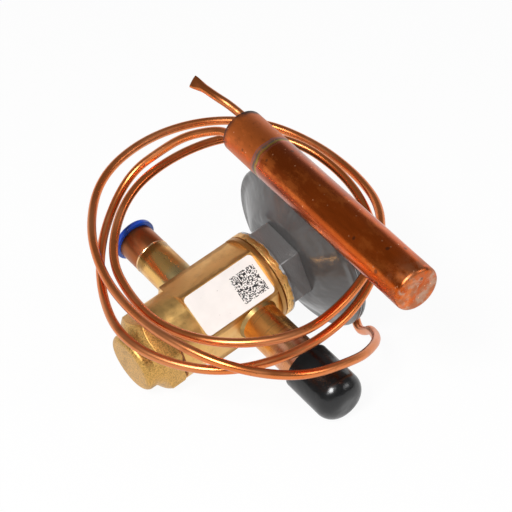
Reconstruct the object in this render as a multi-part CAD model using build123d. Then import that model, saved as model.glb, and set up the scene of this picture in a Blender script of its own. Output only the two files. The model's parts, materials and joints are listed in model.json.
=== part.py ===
"""Thermostatic expansion valve: a hexagonal brass body with inlet and outlet
sockets, a welded power element, a coiled capillary and its sensing bulb.

The valve is modelled about its own axis, from the seal cap (-Z) to the power
element (+Z), with the outlet along +X and the inlet along -X. The valve frame
then lays it down as it rests on a bench: on the element's rim, the seal cap and
the outlet's dust cap. Millimetres.
"""
import os
from math import pi, radians, tan

from build123d import *

# --- where the valve and the bulb lie ---------------------------------------
valve_origin = (-13.14, 2.09, 17.26)  # middle of the hexagon, on the valve's axis
valve_direction = (0.7758, 0.5780, 0.2530)  # from the seal cap to the power element
outlet_direction = (0.6302, -0.7291, -0.2668)
bulb_origin = (-5.84, 24.24, 58.23)  # middle of the bulb's brazed end
bulb_direction = (0.5612, -0.8095, -0.1726)  # from the brazed end to the closed end
bulb_port_direction = (-0.6997, -0.3525, -0.6214)  # from the bulb's axis to the capillary

# --- fits --------------------------------------------------------------------
running_clearance = 0.05  # radial, where one piece turns or slides in another
seat_gap = 0.05  # between faces that part when something moves
braze_gap = 0.03  # radial, round a small tube brazed into a hole

# --- body --------------------------------------------------------------------
hex_across_flats = 22.2
hex_length = 24.0
neck_diameter = 22.8
neck_length = 7.4
neck_shoulder = 0.8  # height of the cone from the hexagon down to the neck
rim_diameter = 25.8
rim_thickness = 1.2
cap_spigot_diameter = 16.0
cap_spigot_length = 5.0
element_spigot_diameter = 18.0
element_spigot_length = 4.4
spring_chamber_diameter = 12.0
seat_wall_bottom = -1.2  # underside of the wall that holds the seat
seat_wall_top = 1.5
outlet_chamber_diameter = 12.0

# --- inlet and outlet --------------------------------------------------------
inlet_height = -3.7
inlet_port_diameter = 4.8
inlet_tube_diameter = 10.8
inlet_stub_length = 24.8  # from the valve's axis to the braze
inlet_tube_length = 7.6
inlet_tube_wall = 0.6  # round the socket
inlet_shoulder_wall = 0.9  # round the stub's spigot
inlet_stub_wall = 1.9
inlet_spigot_length = 1.6
outlet_height = 4.7
outlet_port_diameter = 6.2
outlet_tube_diameter = 11.6
outlet_tube_end = 44.4
outlet_socket_wall = 1.0
outlet_tube_wall = 1.5  # behind the socket
socket_bottom = 8.0  # from the valve's axis to the floor of a body socket
socket_depth = 9.0  # how far the outlet line goes in
braze_height = 1.4
braze_width = 0.5
spot_face_depth = 0.35

# --- dust cap and plug -------------------------------------------------------
dust_cap_length = 16.9
dust_cap_wall = 1.2
dust_cap_end_thickness = 3.3  # beyond the tube's mouth
dust_cap_rounding = 4.6
plug_flange_diameter = 12.8
plug_flange_thickness = 1.5
plug_spigot_length = 4.6
plug_wall = 0.9

# --- label -------------------------------------------------------------------
label_length = 23.0
label_width = 12.2
label_thickness = 0.15
label_corner = 1.3
label_heading = -60.0  # degrees about the axis from the outlet's flat

# --- seal cap ----------------------------------------------------------------
gasket_thickness = 0.4
cap_flange_across_flats = 20.6
cap_flange_diameter = 23.4  # turned over the corners of the hexagon
cap_flange_length = 5.2
cap_waist_length = 2.0
cap_hub_diameter = 16.9
cap_hub_length = 3.3
cap_hub_rounding = 1.6
cap_cavity_diameter = 11.0
cap_end_wall = 1.6
cap_turn = -3.7  # degrees its flats stand from the body's

# --- adjusting stem, spring and pin ------------------------------------------
gland_length = 4.5
gland_head_diameter = 10.0
gland_head_length = 1.0
packing_diameter = 8.0
packing_length = 1.6
stem_diameter = 5.0
stem_head_length = 3.0  # past the gland's head
stem_slot_width = 1.0
stem_slot_depth = 1.2
stem_collar_diameter = 8.4
stem_collar_length = 1.2
stem_thread_length = 6.0
spring_seat_thickness = 1.6
spring_seat_height = -16.6  # underside
spring_wire = 0.9
spring_diameter = 8.6  # to the middle of the wire
spring_turns = 3.5
carrier_height = -8.6  # underside of the carrier's flange
carrier_thickness = 1.6
carrier_flat_distance = 4.9  # axis to each of three flats, for the flow
carrier_spigot_diameter = 6.4
carrier_spigot_length = 1.8
carrier_hub_diameter = 5.0
carrier_hub_length = 2.6
pin_diameter = 3.8
pin_shoulder = -2.1  # where the taper starts
pin_taper_length = 2.6
pin_tip_diameter = 1.0
pin_root_depth = 1.2
seat_ring_diameter = 6.0
seat_ring_length = 2.8
seat_orifice_diameter = 2.6
seat_chamfer = 0.4
rod_diameter = 1.5
rod_circle_diameter = 9.0
rod_count = 3
guide_length = 7.6
equalizer_diameter = 1.2

# --- power element -----------------------------------------------------------
nut_collar_diameter = 25.9
nut_collar_length = 2.6
nut_length = 8.8
nut_bore_diameter = 14.0
nut_turn = -25.2  # degrees its flats stand from the body's
element_diameter = 50.8
cup_thickness = 1.5
cup_floor_diameter = 27.0
cup_depth = 7.0  # from the nut to the diaphragm
cup_roll_diameter = 45.6
rim_flange_thickness = 1.4
diaphragm_thickness = 0.25
cover_rise = 4.8
cover_crown_diameter = 23.0
buffer_diameter = 20.0
buffer_thickness = 1.6
ferrule_diameter = 5.4
ferrule_length = 3.0

# --- capillary and bulb ------------------------------------------------------
capillary_diameter = 2.5
bulb_diameter = 12.7
bulb_length = 76.2
bulb_wall = 0.8
bulb_end_rounding = 1.2
bulb_plug_thickness = 3.0
bulb_plug_recess = 0.8
bulb_port_offset = 3.0
charge_tube_diameter = 2.4
pinch_thickness = 0.9
pinch_width = 3.6
pinch_length = 4.0
pinch_direction = (0.87, -0.30, 0.38)  # across the flat

# Corners of the capillary's route, from the ferrule to the bulb's brazed end.
capillary_route = [
    (14.71, 22.84, 26.34), (17.82, 25.15, 27.35), (21.5, 27, 26), (24, 26.5, 23), (25.5, 25, 18),
    (25, 21.5, 12.5), (24.5, 19.5, 8), (24.5, 16, 3), (25.5, 11.5, 2), (27, 7.5, 4), (28, 4, 7),
    (29, -1.5, 9), (29, -9, 12), (27, -17.5, 15), (23, -26, 17.5), (8.5, -38.5, 20.5),
    (-9.5, -39.5, 24.5), (-25, -31.5, 28), (-35.5, -17, 27.5), (-44, -0.5, 29), (-48.5, 17, 33),
    (-46.5, 34, 39.5), (-35, 47, 44.5), (-18.5, 54, 47), (-0.5, 53.5, 46.5), (15, 45, 43),
    (26, 31, 40), (31.5, 14, 39), (29.5, -3.5, 35.5), (21, -18.5, 31), (8.5, -31, 28),
    (-10, -33, 27), (-25.5, -25, 26.5), (-35.5, -10, 26.5), (-42.5, 7, 30), (-38.5, 22.5, 40),
    (-26.5, 34, 45.5), (-10, 41.5, 48.5), (8, 40.5, 47.5), (22, 30, 41.5), (29, 15, 35.5),
    (29.5, -2.5, 30), (21.5, -18, 25.5), (8, -29.5, 22), (-9.5, -35, 20), (-26, -31, 20.5),
    (-38.5, -21, 22.5), (-44.5, -2, 24.5), (-45.5, 17, 30), (-38.5, 31.5, 41.5), (-27, 32, 50),
    (-21.5, 31, 53.5), (-16, 29.5, 55.5), (-12, 28, 56.5), (-9.34, 25.21, 56.8),
    (-6.82, 21.57, 56.02),
]
# Corners of the charge tube's route, from the bulb's brazed end to its pinched tip.
charge_tube_route = [
    (-2.62, 23.68, 59.75), (-5.99, 28.54, 60.78), (-9.7, 29.8, 63.6), (-13, 32.2, 64.8),
    (-16, 35.1, 65.8), (-18.2, 37.1, 66.3),
]

# --- sizes that follow from those above --------------------------------------
hex_top = hex_length / 2
hex_bottom = -hex_length / 2
neck_end = hex_bottom - neck_length
cap_spigot_end = neck_end - cap_spigot_length
rim_top = hex_top + rim_thickness
element_spigot_top = rim_top + element_spigot_length
hex_corner_diameter = hex_across_flats / (3**0.5 / 2)
nut_bottom = rim_top + gasket_thickness
nut_top = nut_bottom + nut_length
diaphragm_bottom = nut_top + cup_depth
diaphragm_top = diaphragm_bottom + diaphragm_thickness
cover_top = diaphragm_top + rim_flange_thickness + cover_rise
cap_mouth = neck_end - gasket_thickness
cap_flange_bottom = cap_mouth - cap_flange_length
cap_waist_bottom = cap_flange_bottom - cap_waist_length
cap_end = cap_waist_bottom - cap_hub_length
inlet_tube_end = inlet_stub_length + inlet_tube_length
dust_cap_end = outlet_tube_end + dust_cap_end_thickness
dust_cap_mouth = dust_cap_end - dust_cap_length
inlet_socket_diameter = inlet_tube_diameter - 2 * inlet_tube_wall
spot_face_diameter = max(inlet_tube_diameter, outlet_tube_diameter) + 2 * braze_width
gland_top = cap_spigot_end + gland_length
stem_collar_bottom = gland_top + seat_gap
stem_collar_top = stem_collar_bottom + stem_collar_length
stem_top = stem_collar_top + stem_thread_length
stem_bottom = cap_spigot_end - gland_head_length - stem_head_length
spring_seat_top = spring_seat_height + spring_seat_thickness
carrier_top = carrier_height + carrier_thickness
buffer_top = diaphragm_bottom - seat_gap
buffer_bottom = buffer_top - buffer_thickness
seat_ring_bottom = seat_wall_top - seat_ring_length

valve_frame = Plane(valve_origin, x_dir=outlet_direction, z_dir=valve_direction).location
bulb_frame = Plane(bulb_origin, x_dir=bulb_port_direction, z_dir=bulb_direction).location


# --- shapes used again and again ---------------------------------------------
def rod(diameter, low, high):
    """A cylinder on Z between two heights."""
    return Pos(0, 0, (low + high) / 2) * Cylinder(diameter / 2, high - low)


def ring(inner, outer, low, high):
    """A washer on Z between two heights."""
    return rod(outer, low, high) - rod(inner, low, high)


def hexagon(across_flats, low, high):
    """A hexagonal bar on Z with a flat on +X."""
    outline = RegularPolygon(across_flats / 2, 6, major_radius=False, rotation=30)
    return Pos(0, 0, low) * extrude(outline, high - low)


def turned(*profile, rounds=None):
    """A solid of revolution on Z from (radius, height) corners, some of them rounded."""
    outline = make_face(Polyline(*profile, close=True))
    for index, radius in (rounds or {}).items():
        corner = outline.vertices().sort_by_distance(Vector(*profile[index]))[0]
        outline = fillet(corner, radius)
    return revolve(Plane.XZ * outline, Axis.Z)


def sideways(solid, height, heading=0):
    """Lays a solid modelled on Z out along +X, turned about the valve's axis."""
    return Pos(0, 0, height) * Rot(0, 0, heading) * Rot(0, 90, 0) * solid


def around(solid, count, start=0):
    """Copies of a solid spaced evenly about Z."""
    return [Rot(0, 0, start + 360 * i / count) * solid for i in range(count)]


def bent_wire(route, diameter):
    """A round wire along straight runs joined by the largest tangent arcs they allow."""
    points = [Vector(*p) for p in route]
    runs = [b - a for a, b in zip(points, points[1:])]
    radii = []
    for before, after in zip(runs, runs[1:]):
        half_turn = radians(before.get_angle(after)) / 2
        radii.append(0.45 * min(before.length, after.length) / tan(half_turn))
    path = FilletPolyline(*points, radius=radii)
    section = Plane(points[0], z_dir=runs[0]) * Circle(diameter / 2)
    wire = sweep(section, path=path)
    print("bend radii", [round(r, 1) for r in radii])
    print("length", round(path.length, 1), "volume", round(wire.volume, 1),
          "section x length", round(pi * diameter**2 / 4 * path.length, 1))
    return wire


# --- body --------------------------------------------------------------------
def valve_body():
    """Hexagonal bar, turned at both ends and bored for the spring, seat and ports."""
    blank = hexagon(hex_across_flats, hex_bottom, hex_top)
    shoulder_cone = turned((0, hex_bottom), (neck_diameter / 2, hex_bottom),
                           (hex_corner_diameter / 2, hex_bottom + neck_shoulder),
                           (hex_corner_diameter / 2, hex_top), (0, hex_top))
    body = blank & shoulder_cone
    body += rod(rim_diameter, hex_top, rim_top)
    body += rod(element_spigot_diameter, rim_top, element_spigot_top)
    body += rod(neck_diameter, neck_end, hex_bottom)
    body += rod(cap_spigot_diameter, cap_spigot_end, neck_end)
    body -= rod(spring_chamber_diameter, cap_spigot_end, seat_wall_bottom)
    body -= rod(outlet_chamber_diameter, seat_wall_top, element_spigot_top)
    body -= rod(seat_ring_diameter, seat_wall_bottom, seat_wall_top)
    body -= sideways(rod(inlet_port_diameter, 0, socket_bottom), inlet_height, 180)
    body -= sideways(rod(inlet_tube_diameter, socket_bottom, hex_across_flats), inlet_height, 180)
    body -= sideways(rod(outlet_port_diameter, 0, socket_bottom), outlet_height)
    body -= sideways(rod(outlet_tube_diameter, socket_bottom, hex_across_flats), outlet_height)
    face = hex_across_flats / 2 - spot_face_depth
    body -= sideways(rod(spot_face_diameter, face, hex_across_flats), outlet_height)
    rod_hole = Pos(rod_circle_diameter / 2, 0, 0) * rod(
        rod_diameter + 2 * running_clearance, seat_wall_bottom, seat_wall_top)
    for hole in around(rod_hole, rod_count, start=90):
        body -= hole
    return body


def seat_ring():
    """Hard seat pressed into the wall between the chambers."""
    bore = seat_orifice_diameter / 2
    return turned((bore, seat_ring_bottom + seat_chamfer), (bore + seat_chamfer, seat_ring_bottom),
                  (seat_ring_diameter / 2, seat_ring_bottom), (seat_ring_diameter / 2, seat_wall_top),
                  (bore, seat_wall_top))


def rod_guide():
    """Bush in the top bore that guides the push rods and bleeds outlet pressure up."""
    guide = rod(outlet_chamber_diameter, element_spigot_top - guide_length, element_spigot_top)
    hole = Pos(rod_circle_diameter / 2, 0, 0) * rod(
        rod_diameter + 2 * running_clearance, element_spigot_top - guide_length, element_spigot_top)
    for cut in around(hole, rod_count, start=90):
        guide -= cut
    return guide - rod(equalizer_diameter, element_spigot_top - guide_length, element_spigot_top)


def label():
    """Adhesive label on the flat beside the outlet."""
    plate = extrude(RectangleRounded(label_length, label_width, label_corner), label_thickness)
    flat = Pos(hex_across_flats / 2, 0, 0) * Rot(0, 90, 0)
    return Rot(0, 0, label_heading) * flat * plate


# --- inlet and outlet --------------------------------------------------------
def braze(tube_diameter):
    """Fillet of braze metal in the spot face round a tube."""
    face = hex_across_flats / 2 - spot_face_depth
    radius = tube_diameter / 2
    return turned((radius, face), (radius + braze_width, face),
                  (radius + braze_width, face + spot_face_depth),
                  (radius, face + braze_height))


def inlet_stub():
    """Brass stub brazed into the body, with a spigot for the copper tube."""
    stub = rod(inlet_tube_diameter, socket_bottom, inlet_stub_length)
    spigot_end = inlet_stub_length + inlet_spigot_length
    stub += rod(inlet_tube_diameter - 2 * inlet_shoulder_wall, inlet_stub_length, spigot_end)
    return stub - rod(inlet_tube_diameter - 2 * inlet_stub_wall, socket_bottom, spigot_end)


def inlet_tube():
    """Short copper socket, brazed over the stub's spigot."""
    tube = rod(inlet_tube_diameter, inlet_stub_length, inlet_tube_end)
    shoulder = inlet_stub_length + inlet_spigot_length
    tube -= rod(inlet_tube_diameter - 2 * inlet_shoulder_wall, inlet_stub_length, shoulder)
    return tube - rod(inlet_socket_diameter, shoulder, inlet_tube_end)


def inlet_tube_braze():
    """Raised line of braze where the copper tube meets the brass stub."""
    radius = inlet_tube_diameter / 2
    bead = braze_width / 2
    return turned((radius, inlet_stub_length - bead), (radius + bead / 2, inlet_stub_length),
                  (radius, inlet_stub_length + bead))


def inlet_plug():
    """Push-in plastic plug with a hollow spigot and a flange over the mouth."""
    mouth = inlet_tube_end + seat_gap
    spigot_diameter = inlet_socket_diameter - 2 * running_clearance
    spigot_end = mouth - plug_spigot_length
    plug = rod(plug_flange_diameter, mouth, mouth + plug_flange_thickness)
    plug = fillet(plug.edges().group_by(Axis.Z)[-1], plug_flange_thickness / 3)
    plug += rod(spigot_diameter, spigot_end, mouth)
    hollow = spigot_diameter - 2 * plug_wall
    return plug - rod(hollow, spigot_end + plug_wall, mouth + plug_flange_thickness)


def outlet_tube():
    """Copper tube brazed into the body; its bore takes the evaporator line."""
    tube = rod(outlet_tube_diameter, socket_bottom, outlet_tube_end)
    tube -= rod(outlet_tube_diameter - 2 * outlet_tube_wall, socket_bottom, outlet_tube_end)
    socket = outlet_tube_diameter - 2 * outlet_socket_wall
    return tube - rod(socket, outlet_tube_end - socket_depth, outlet_tube_end)


def outlet_cap():
    """Dipped vinyl dust cap with a round end."""
    inner = outlet_tube_diameter + 2 * running_clearance
    cap = rod(inner + 2 * dust_cap_wall, dust_cap_mouth, dust_cap_end)
    cap = fillet(cap.edges().group_by(Axis.Z)[-1], dust_cap_rounding)
    cap = fillet(cap.edges().group_by(Axis.Z)[0], dust_cap_wall / 3)
    return cap - rod(inner, dust_cap_mouth, outlet_tube_end + seat_gap)


# --- seal cap ----------------------------------------------------------------
def seal_cap():
    """Forged hexagonal cap with a round end boss below a waist."""
    flange_radius = cap_flange_diameter / 2
    hub_radius = cap_hub_diameter / 2
    flare = (flange_radius - hub_radius) / 2
    outline = turned((0, cap_end), (hub_radius, cap_end), (hub_radius, cap_waist_bottom),
                     (hub_radius + flare / 2, cap_waist_bottom + cap_waist_length / 2),
                     (flange_radius - flare / 2, cap_flange_bottom),
                     (flange_radius, cap_flange_bottom + flare / 2),
                     (flange_radius, cap_mouth - flare / 4),
                     (flange_radius - flare / 4, cap_mouth), (0, cap_mouth))
    outline = fillet(outline.edges().group_by(Axis.Z)[0], cap_hub_rounding)
    cap = outline & (Rot(0, 0, cap_turn) * hexagon(cap_flange_across_flats, cap_end, cap_mouth))
    bore = cap_spigot_diameter + 2 * running_clearance
    cap -= rod(bore, cap_spigot_end - seat_gap, cap_mouth)
    return cap - rod(cap_cavity_diameter, cap_end + cap_end_wall, cap_spigot_end)


def seal_cap_gasket():
    """Soft copper washer between the neck and the seal cap."""
    return ring(cap_spigot_diameter, neck_diameter - 1, cap_mouth + seat_gap, neck_end)


# --- adjusting stem ----------------------------------------------------------
def packing_gland():
    """Threaded gland that closes the spring chamber round the stem."""
    gland = rod(spring_chamber_diameter, cap_spigot_end, gland_top)
    gland += rod(gland_head_diameter, cap_spigot_end - gland_head_length, cap_spigot_end)
    gland -= rod(stem_diameter + 2 * running_clearance, cap_spigot_end - gland_head_length, gland_top)
    return gland - rod(packing_diameter, gland_top - packing_length, gland_top)


def stem_packing():
    """Packing ring in the gland."""
    return ring(stem_diameter + 2 * running_clearance, packing_diameter,
                gland_top - packing_length, gland_top)


def adjusting_stem():
    """Stem with a collar inside, a thread for the spring seat and a slotted head."""
    stem = rod(stem_diameter, stem_bottom, stem_top)
    stem += rod(stem_collar_diameter, stem_collar_bottom, stem_collar_top)
    slot = Box(stem_diameter * 2, stem_slot_width, stem_slot_depth * 2)
    return stem - Pos(0, 0, stem_bottom) * slot


def spring_seat():
    """Nut that rides up and down the stem's thread and carries the spring."""
    return ring(stem_diameter + 2 * running_clearance, spring_chamber_diameter - 2 * running_clearance,
                spring_seat_height, spring_seat_top)


def superheat_spring():
    """Compression spring between the spring seat and the pin carrier."""
    height = carrier_height - spring_seat_top - spring_wire
    coil = Helix(pitch=height / spring_turns, height=height, radius=spring_diameter / 2)
    section = Plane(coil @ 0, z_dir=coil % 0) * Circle(spring_wire / 2)
    return Pos(0, 0, spring_seat_top + spring_wire / 2) * sweep(section, path=coil, is_frenet=True)


# --- pin, carrier and push rods ----------------------------------------------
def pin_carrier():
    """Guided carrier that holds the pin and centres the spring."""
    carrier = rod(spring_chamber_diameter - 2 * running_clearance, carrier_height, carrier_top)
    flat = Pos(carrier_flat_distance + spring_chamber_diameter / 2, 0,
               (carrier_height + carrier_top) / 2) * Box(
        spring_chamber_diameter, spring_chamber_diameter, carrier_thickness * 2)
    for cut in around(flat, rod_count, start=30):
        carrier -= cut
    carrier += rod(carrier_spigot_diameter, carrier_height - carrier_spigot_length, carrier_height)
    carrier += rod(carrier_hub_diameter, carrier_top, carrier_top + carrier_hub_length)
    return carrier - rod(pin_diameter, carrier_top + carrier_hub_length - pin_root_depth,
                         carrier_top + carrier_hub_length)


def valve_pin():
    """Tapered pin that meters the flow through the seat."""
    root = carrier_top + carrier_hub_length - pin_root_depth
    return turned((0, root), (pin_diameter / 2, root), (pin_diameter / 2, pin_shoulder),
                  (pin_tip_diameter / 2, pin_shoulder + pin_taper_length),
                  (0, pin_shoulder + pin_taper_length))


def push_rods():
    """Rods that carry the diaphragm's push past the seat to the carrier."""
    one = Pos(rod_circle_diameter / 2, 0, 0) * rod(rod_diameter, carrier_top, buffer_bottom)
    return around(one, rod_count, start=90)


def buffer_plate():
    """Plate under the diaphragm that presses on the push rods."""
    return rod(buffer_diameter, buffer_bottom, buffer_top)


# --- power element -----------------------------------------------------------
def body_gasket():
    """Crushed washer between the body's rim and the element's nut."""
    return ring(element_spigot_diameter, rim_diameter - 1.6, rim_top, nut_bottom)


def element_nut():
    """Hexagonal nut that screws the power element onto the body."""
    collar_top = nut_bottom + nut_collar_length
    nut = hexagon(hex_across_flats, nut_bottom, nut_top)
    nut = Rot(0, 0, nut_turn) * nut
    nut &= rod(hex_corner_diameter - 0.3, nut_bottom, nut_top)
    nut += rod(nut_collar_diameter, nut_bottom, collar_top)
    nut -= rod(element_spigot_diameter, nut_bottom, element_spigot_top)
    return nut - rod(nut_bore_diameter, element_spigot_top, nut_top)


def lower_cup():
    """Pressed cup under the diaphragm, rolled out into the element's rim."""
    floor, roll, edge = cup_floor_diameter / 2, cup_roll_diameter / 2, element_diameter / 2
    bore = nut_bore_diameter / 2
    lip = diaphragm_bottom - rim_flange_thickness
    inner = cup_thickness * 0.8
    return turned((bore, nut_top), (floor, nut_top), (roll, lip - 0.2), (edge, lip),
                  (edge, diaphragm_bottom), (roll - inner, diaphragm_bottom),
                  (floor - inner, nut_top + cup_thickness), (bore, nut_top + cup_thickness),
                  rounds={1: 6, 2: 3, 3: 1, 6: 5})


def diaphragm():
    """Thin metal disc clamped and welded between the cup and the cover."""
    return rod(element_diameter - 0.4, diaphragm_bottom, diaphragm_top)


def upper_cover():
    """Domed cover over the charge, with a hole for the capillary."""
    crown, roll, edge = cover_crown_diameter / 2, cup_roll_diameter / 2, element_diameter / 2
    hole = capillary_diameter / 2 + braze_gap
    lip = diaphragm_top + rim_flange_thickness
    inner = cup_thickness * 0.8
    return turned((hole, cover_top), (crown, cover_top - 0.5), (roll, lip + 0.3), (edge, lip),
                  (edge, diaphragm_top), (roll - inner, diaphragm_top),
                  (crown - inner, cover_top - 0.5 - cup_thickness), (hole, cover_top - cup_thickness),
                  rounds={1: 8, 2: 3, 3: 1, 6: 7})


def capillary_ferrule():
    """Brazed ferrule where the capillary leaves the cover."""
    body = rod(ferrule_diameter, cover_top, cover_top + ferrule_length)
    body = chamfer(body.edges().group_by(Axis.Z)[-1], ferrule_diameter / 5)
    hole = capillary_diameter + 2 * braze_gap
    return body - rod(hole, cover_top, cover_top + ferrule_length)


# --- bulb --------------------------------------------------------------------
def bulb_shell():
    """Drawn copper bulb, closed and rounded at its far end."""
    shell = rod(bulb_diameter, 0, bulb_length)
    shell = fillet(shell.edges().group_by(Axis.Z)[-1], bulb_end_rounding)
    return shell - rod(bulb_diameter - 2 * bulb_wall, 0, bulb_length - bulb_wall)


def bulb_end_plug():
    """Plug brazed into the bulb's open end, drilled for both tubes."""
    plug = rod(bulb_diameter - 2 * bulb_wall, bulb_plug_recess, bulb_plug_recess + bulb_plug_thickness)
    for offset, tube in ((bulb_port_offset, capillary_diameter), (-bulb_port_offset, charge_tube_diameter)):
        plug -= Pos(offset, 0, 0) * rod(tube + 2 * braze_gap, 0, bulb_length / 2)
    return plug


def charge_tube():
    """Filling tube, pinched flat and closed at its tip."""
    return bent_wire(charge_tube_route, charge_tube_diameter)


def capillary_tube():
    """Capillary from the power element to the bulb, wound in loose loops."""
    return bent_wire(capillary_route, capillary_diameter)


def pinched_tip():
    """Flattened end of the charge tube."""
    start, end = Vector(*charge_tube_route[-2]), Vector(*charge_tube_route[-1])
    flat = Box(pinch_width, pinch_thickness, pinch_length)
    flat = fillet(flat.edges().filter_by(Axis.Y), pinch_thickness)
    return Plane(end, x_dir=pinch_direction, z_dir=end - start).location * flat


# --- all the pieces, each in its place ---------------------------------------
valve_pieces = {
    "valve_body": valve_body(),
    "seat_ring": seat_ring(),
    "rod_guide": rod_guide(),
    "label": label(),
    "inlet_stub": sideways(inlet_stub(), inlet_height, 180),
    "inlet_tube": sideways(inlet_tube(), inlet_height, 180),
    "inlet_braze": sideways(inlet_tube_braze(), inlet_height, 180),
    "inlet_plug": sideways(inlet_plug(), inlet_height, 180),
    "outlet_tube": sideways(outlet_tube(), outlet_height),
    "outlet_braze": sideways(braze(outlet_tube_diameter), outlet_height),
    "outlet_cap": sideways(outlet_cap(), outlet_height),
    "seal_cap": seal_cap(),
    "seal_cap_gasket": seal_cap_gasket(),
    "packing_gland": packing_gland(),
    "stem_packing": stem_packing(),
    "adjusting_stem": adjusting_stem(),
    "spring_seat": spring_seat(),
    "superheat_spring": superheat_spring(),
    "pin_carrier": pin_carrier(),
    "valve_pin": valve_pin(),
    "buffer_plate": buffer_plate(),
    "body_gasket": body_gasket(),
    "element_nut": element_nut(),
    "lower_cup": lower_cup(),
    "diaphragm": diaphragm(),
    "upper_cover": upper_cover(),
    "capillary_ferrule": capillary_ferrule(),
}
for number, push_rod in enumerate(push_rods(), start=1):
    valve_pieces[f"push_rod_{number}"] = push_rod

bulb_pieces = {"bulb_shell": bulb_shell(), "bulb_end_plug": bulb_end_plug()}

pieces = {name: valve_frame * shape for name, shape in valve_pieces.items()}
pieces |= {name: bulb_frame * shape for name, shape in bulb_pieces.items()}
pieces["capillary_tube"] = capillary_tube()
pieces["charge_tube"] = charge_tube() + pinched_tip()

os.makedirs("parts", exist_ok=True)
for name, shape in pieces.items():
    shape.label = name
    export_step(shape, f"parts/{name}.step")
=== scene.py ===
"""Dresses the expansion valve: its capillary, charge tube, softened metal pieces,
their finishes, and the pale table and soft lamps that it is shown with."""

import json
from math import radians

import bpy
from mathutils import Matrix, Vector

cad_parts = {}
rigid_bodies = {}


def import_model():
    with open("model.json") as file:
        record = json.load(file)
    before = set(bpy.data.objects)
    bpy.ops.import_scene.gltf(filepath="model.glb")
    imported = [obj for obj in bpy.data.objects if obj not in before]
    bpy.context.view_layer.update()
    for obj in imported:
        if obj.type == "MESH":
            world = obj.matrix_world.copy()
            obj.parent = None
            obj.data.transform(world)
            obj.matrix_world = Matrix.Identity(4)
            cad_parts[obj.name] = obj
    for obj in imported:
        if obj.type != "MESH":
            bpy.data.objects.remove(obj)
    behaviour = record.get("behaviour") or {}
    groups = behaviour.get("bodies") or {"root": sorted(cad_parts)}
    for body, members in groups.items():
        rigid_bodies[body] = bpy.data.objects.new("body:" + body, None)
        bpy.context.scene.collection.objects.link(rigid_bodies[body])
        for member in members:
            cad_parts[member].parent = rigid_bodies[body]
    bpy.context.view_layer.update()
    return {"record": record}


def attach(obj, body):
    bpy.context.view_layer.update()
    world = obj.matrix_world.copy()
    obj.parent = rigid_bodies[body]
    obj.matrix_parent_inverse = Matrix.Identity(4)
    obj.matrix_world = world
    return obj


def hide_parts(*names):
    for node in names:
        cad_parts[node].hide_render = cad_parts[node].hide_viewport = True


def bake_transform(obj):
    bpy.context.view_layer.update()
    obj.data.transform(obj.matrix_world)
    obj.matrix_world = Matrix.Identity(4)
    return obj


bl_info = {
    "name": "Expansion valve",
    "version": (1, 0, 0),
    "blender": (4, 5, 0),
    "location": "3D View > Sidebar > Expansion valve",
    "description": "Dresses the expansion valve's solids and sets them on a pale table",
    "category": "Object",
}

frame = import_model()

MM = 0.001
FAR = 100.0  # mm, past the end of every piece

# Where the valve lies: its Z runs from the seal cap to the power element, its X to the outlet.
VALVE_ORIGIN = (-13.14 * MM, 2.09 * MM, 17.26 * MM)
VALVE_TURN = (radians(-74.780), radians(15.474), radians(-49.161))
VALVE_AXIS = (0.7758, 0.5780, 0.2530)
# The hexagon's ends along that axis, and the radius where its corners turn brown, mm.
HEX_BOTTOM, HEX_TOP, BROWN_RADIUS = -12.0, 12.0, 12.1
# The spring's ends and middle along that axis, mm.
SPRING_BOTTOM, SPRING_MIDDLE, SPRING_TOP = -15.0, -11.8, -8.6
# Where the bulb lies: its Z runs from the brazed end to the closed end.
BULB_ORIGIN = (-5.84 * MM, 24.24 * MM, 58.23 * MM)
BULB_TURN = (radians(-102.726), radians(38.420), radians(-153.257))
BULB_LENGTH = 76.2  # mm
# The label's width runs along this share of the valve's X and Y, and its code lies at this
# height and this far to the outlet's side, mm.
LABEL_ACROSS = (0.8660, 0.5)
CODE_HEIGHT, CODE_SIDE = 6.2, 0.5

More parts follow.
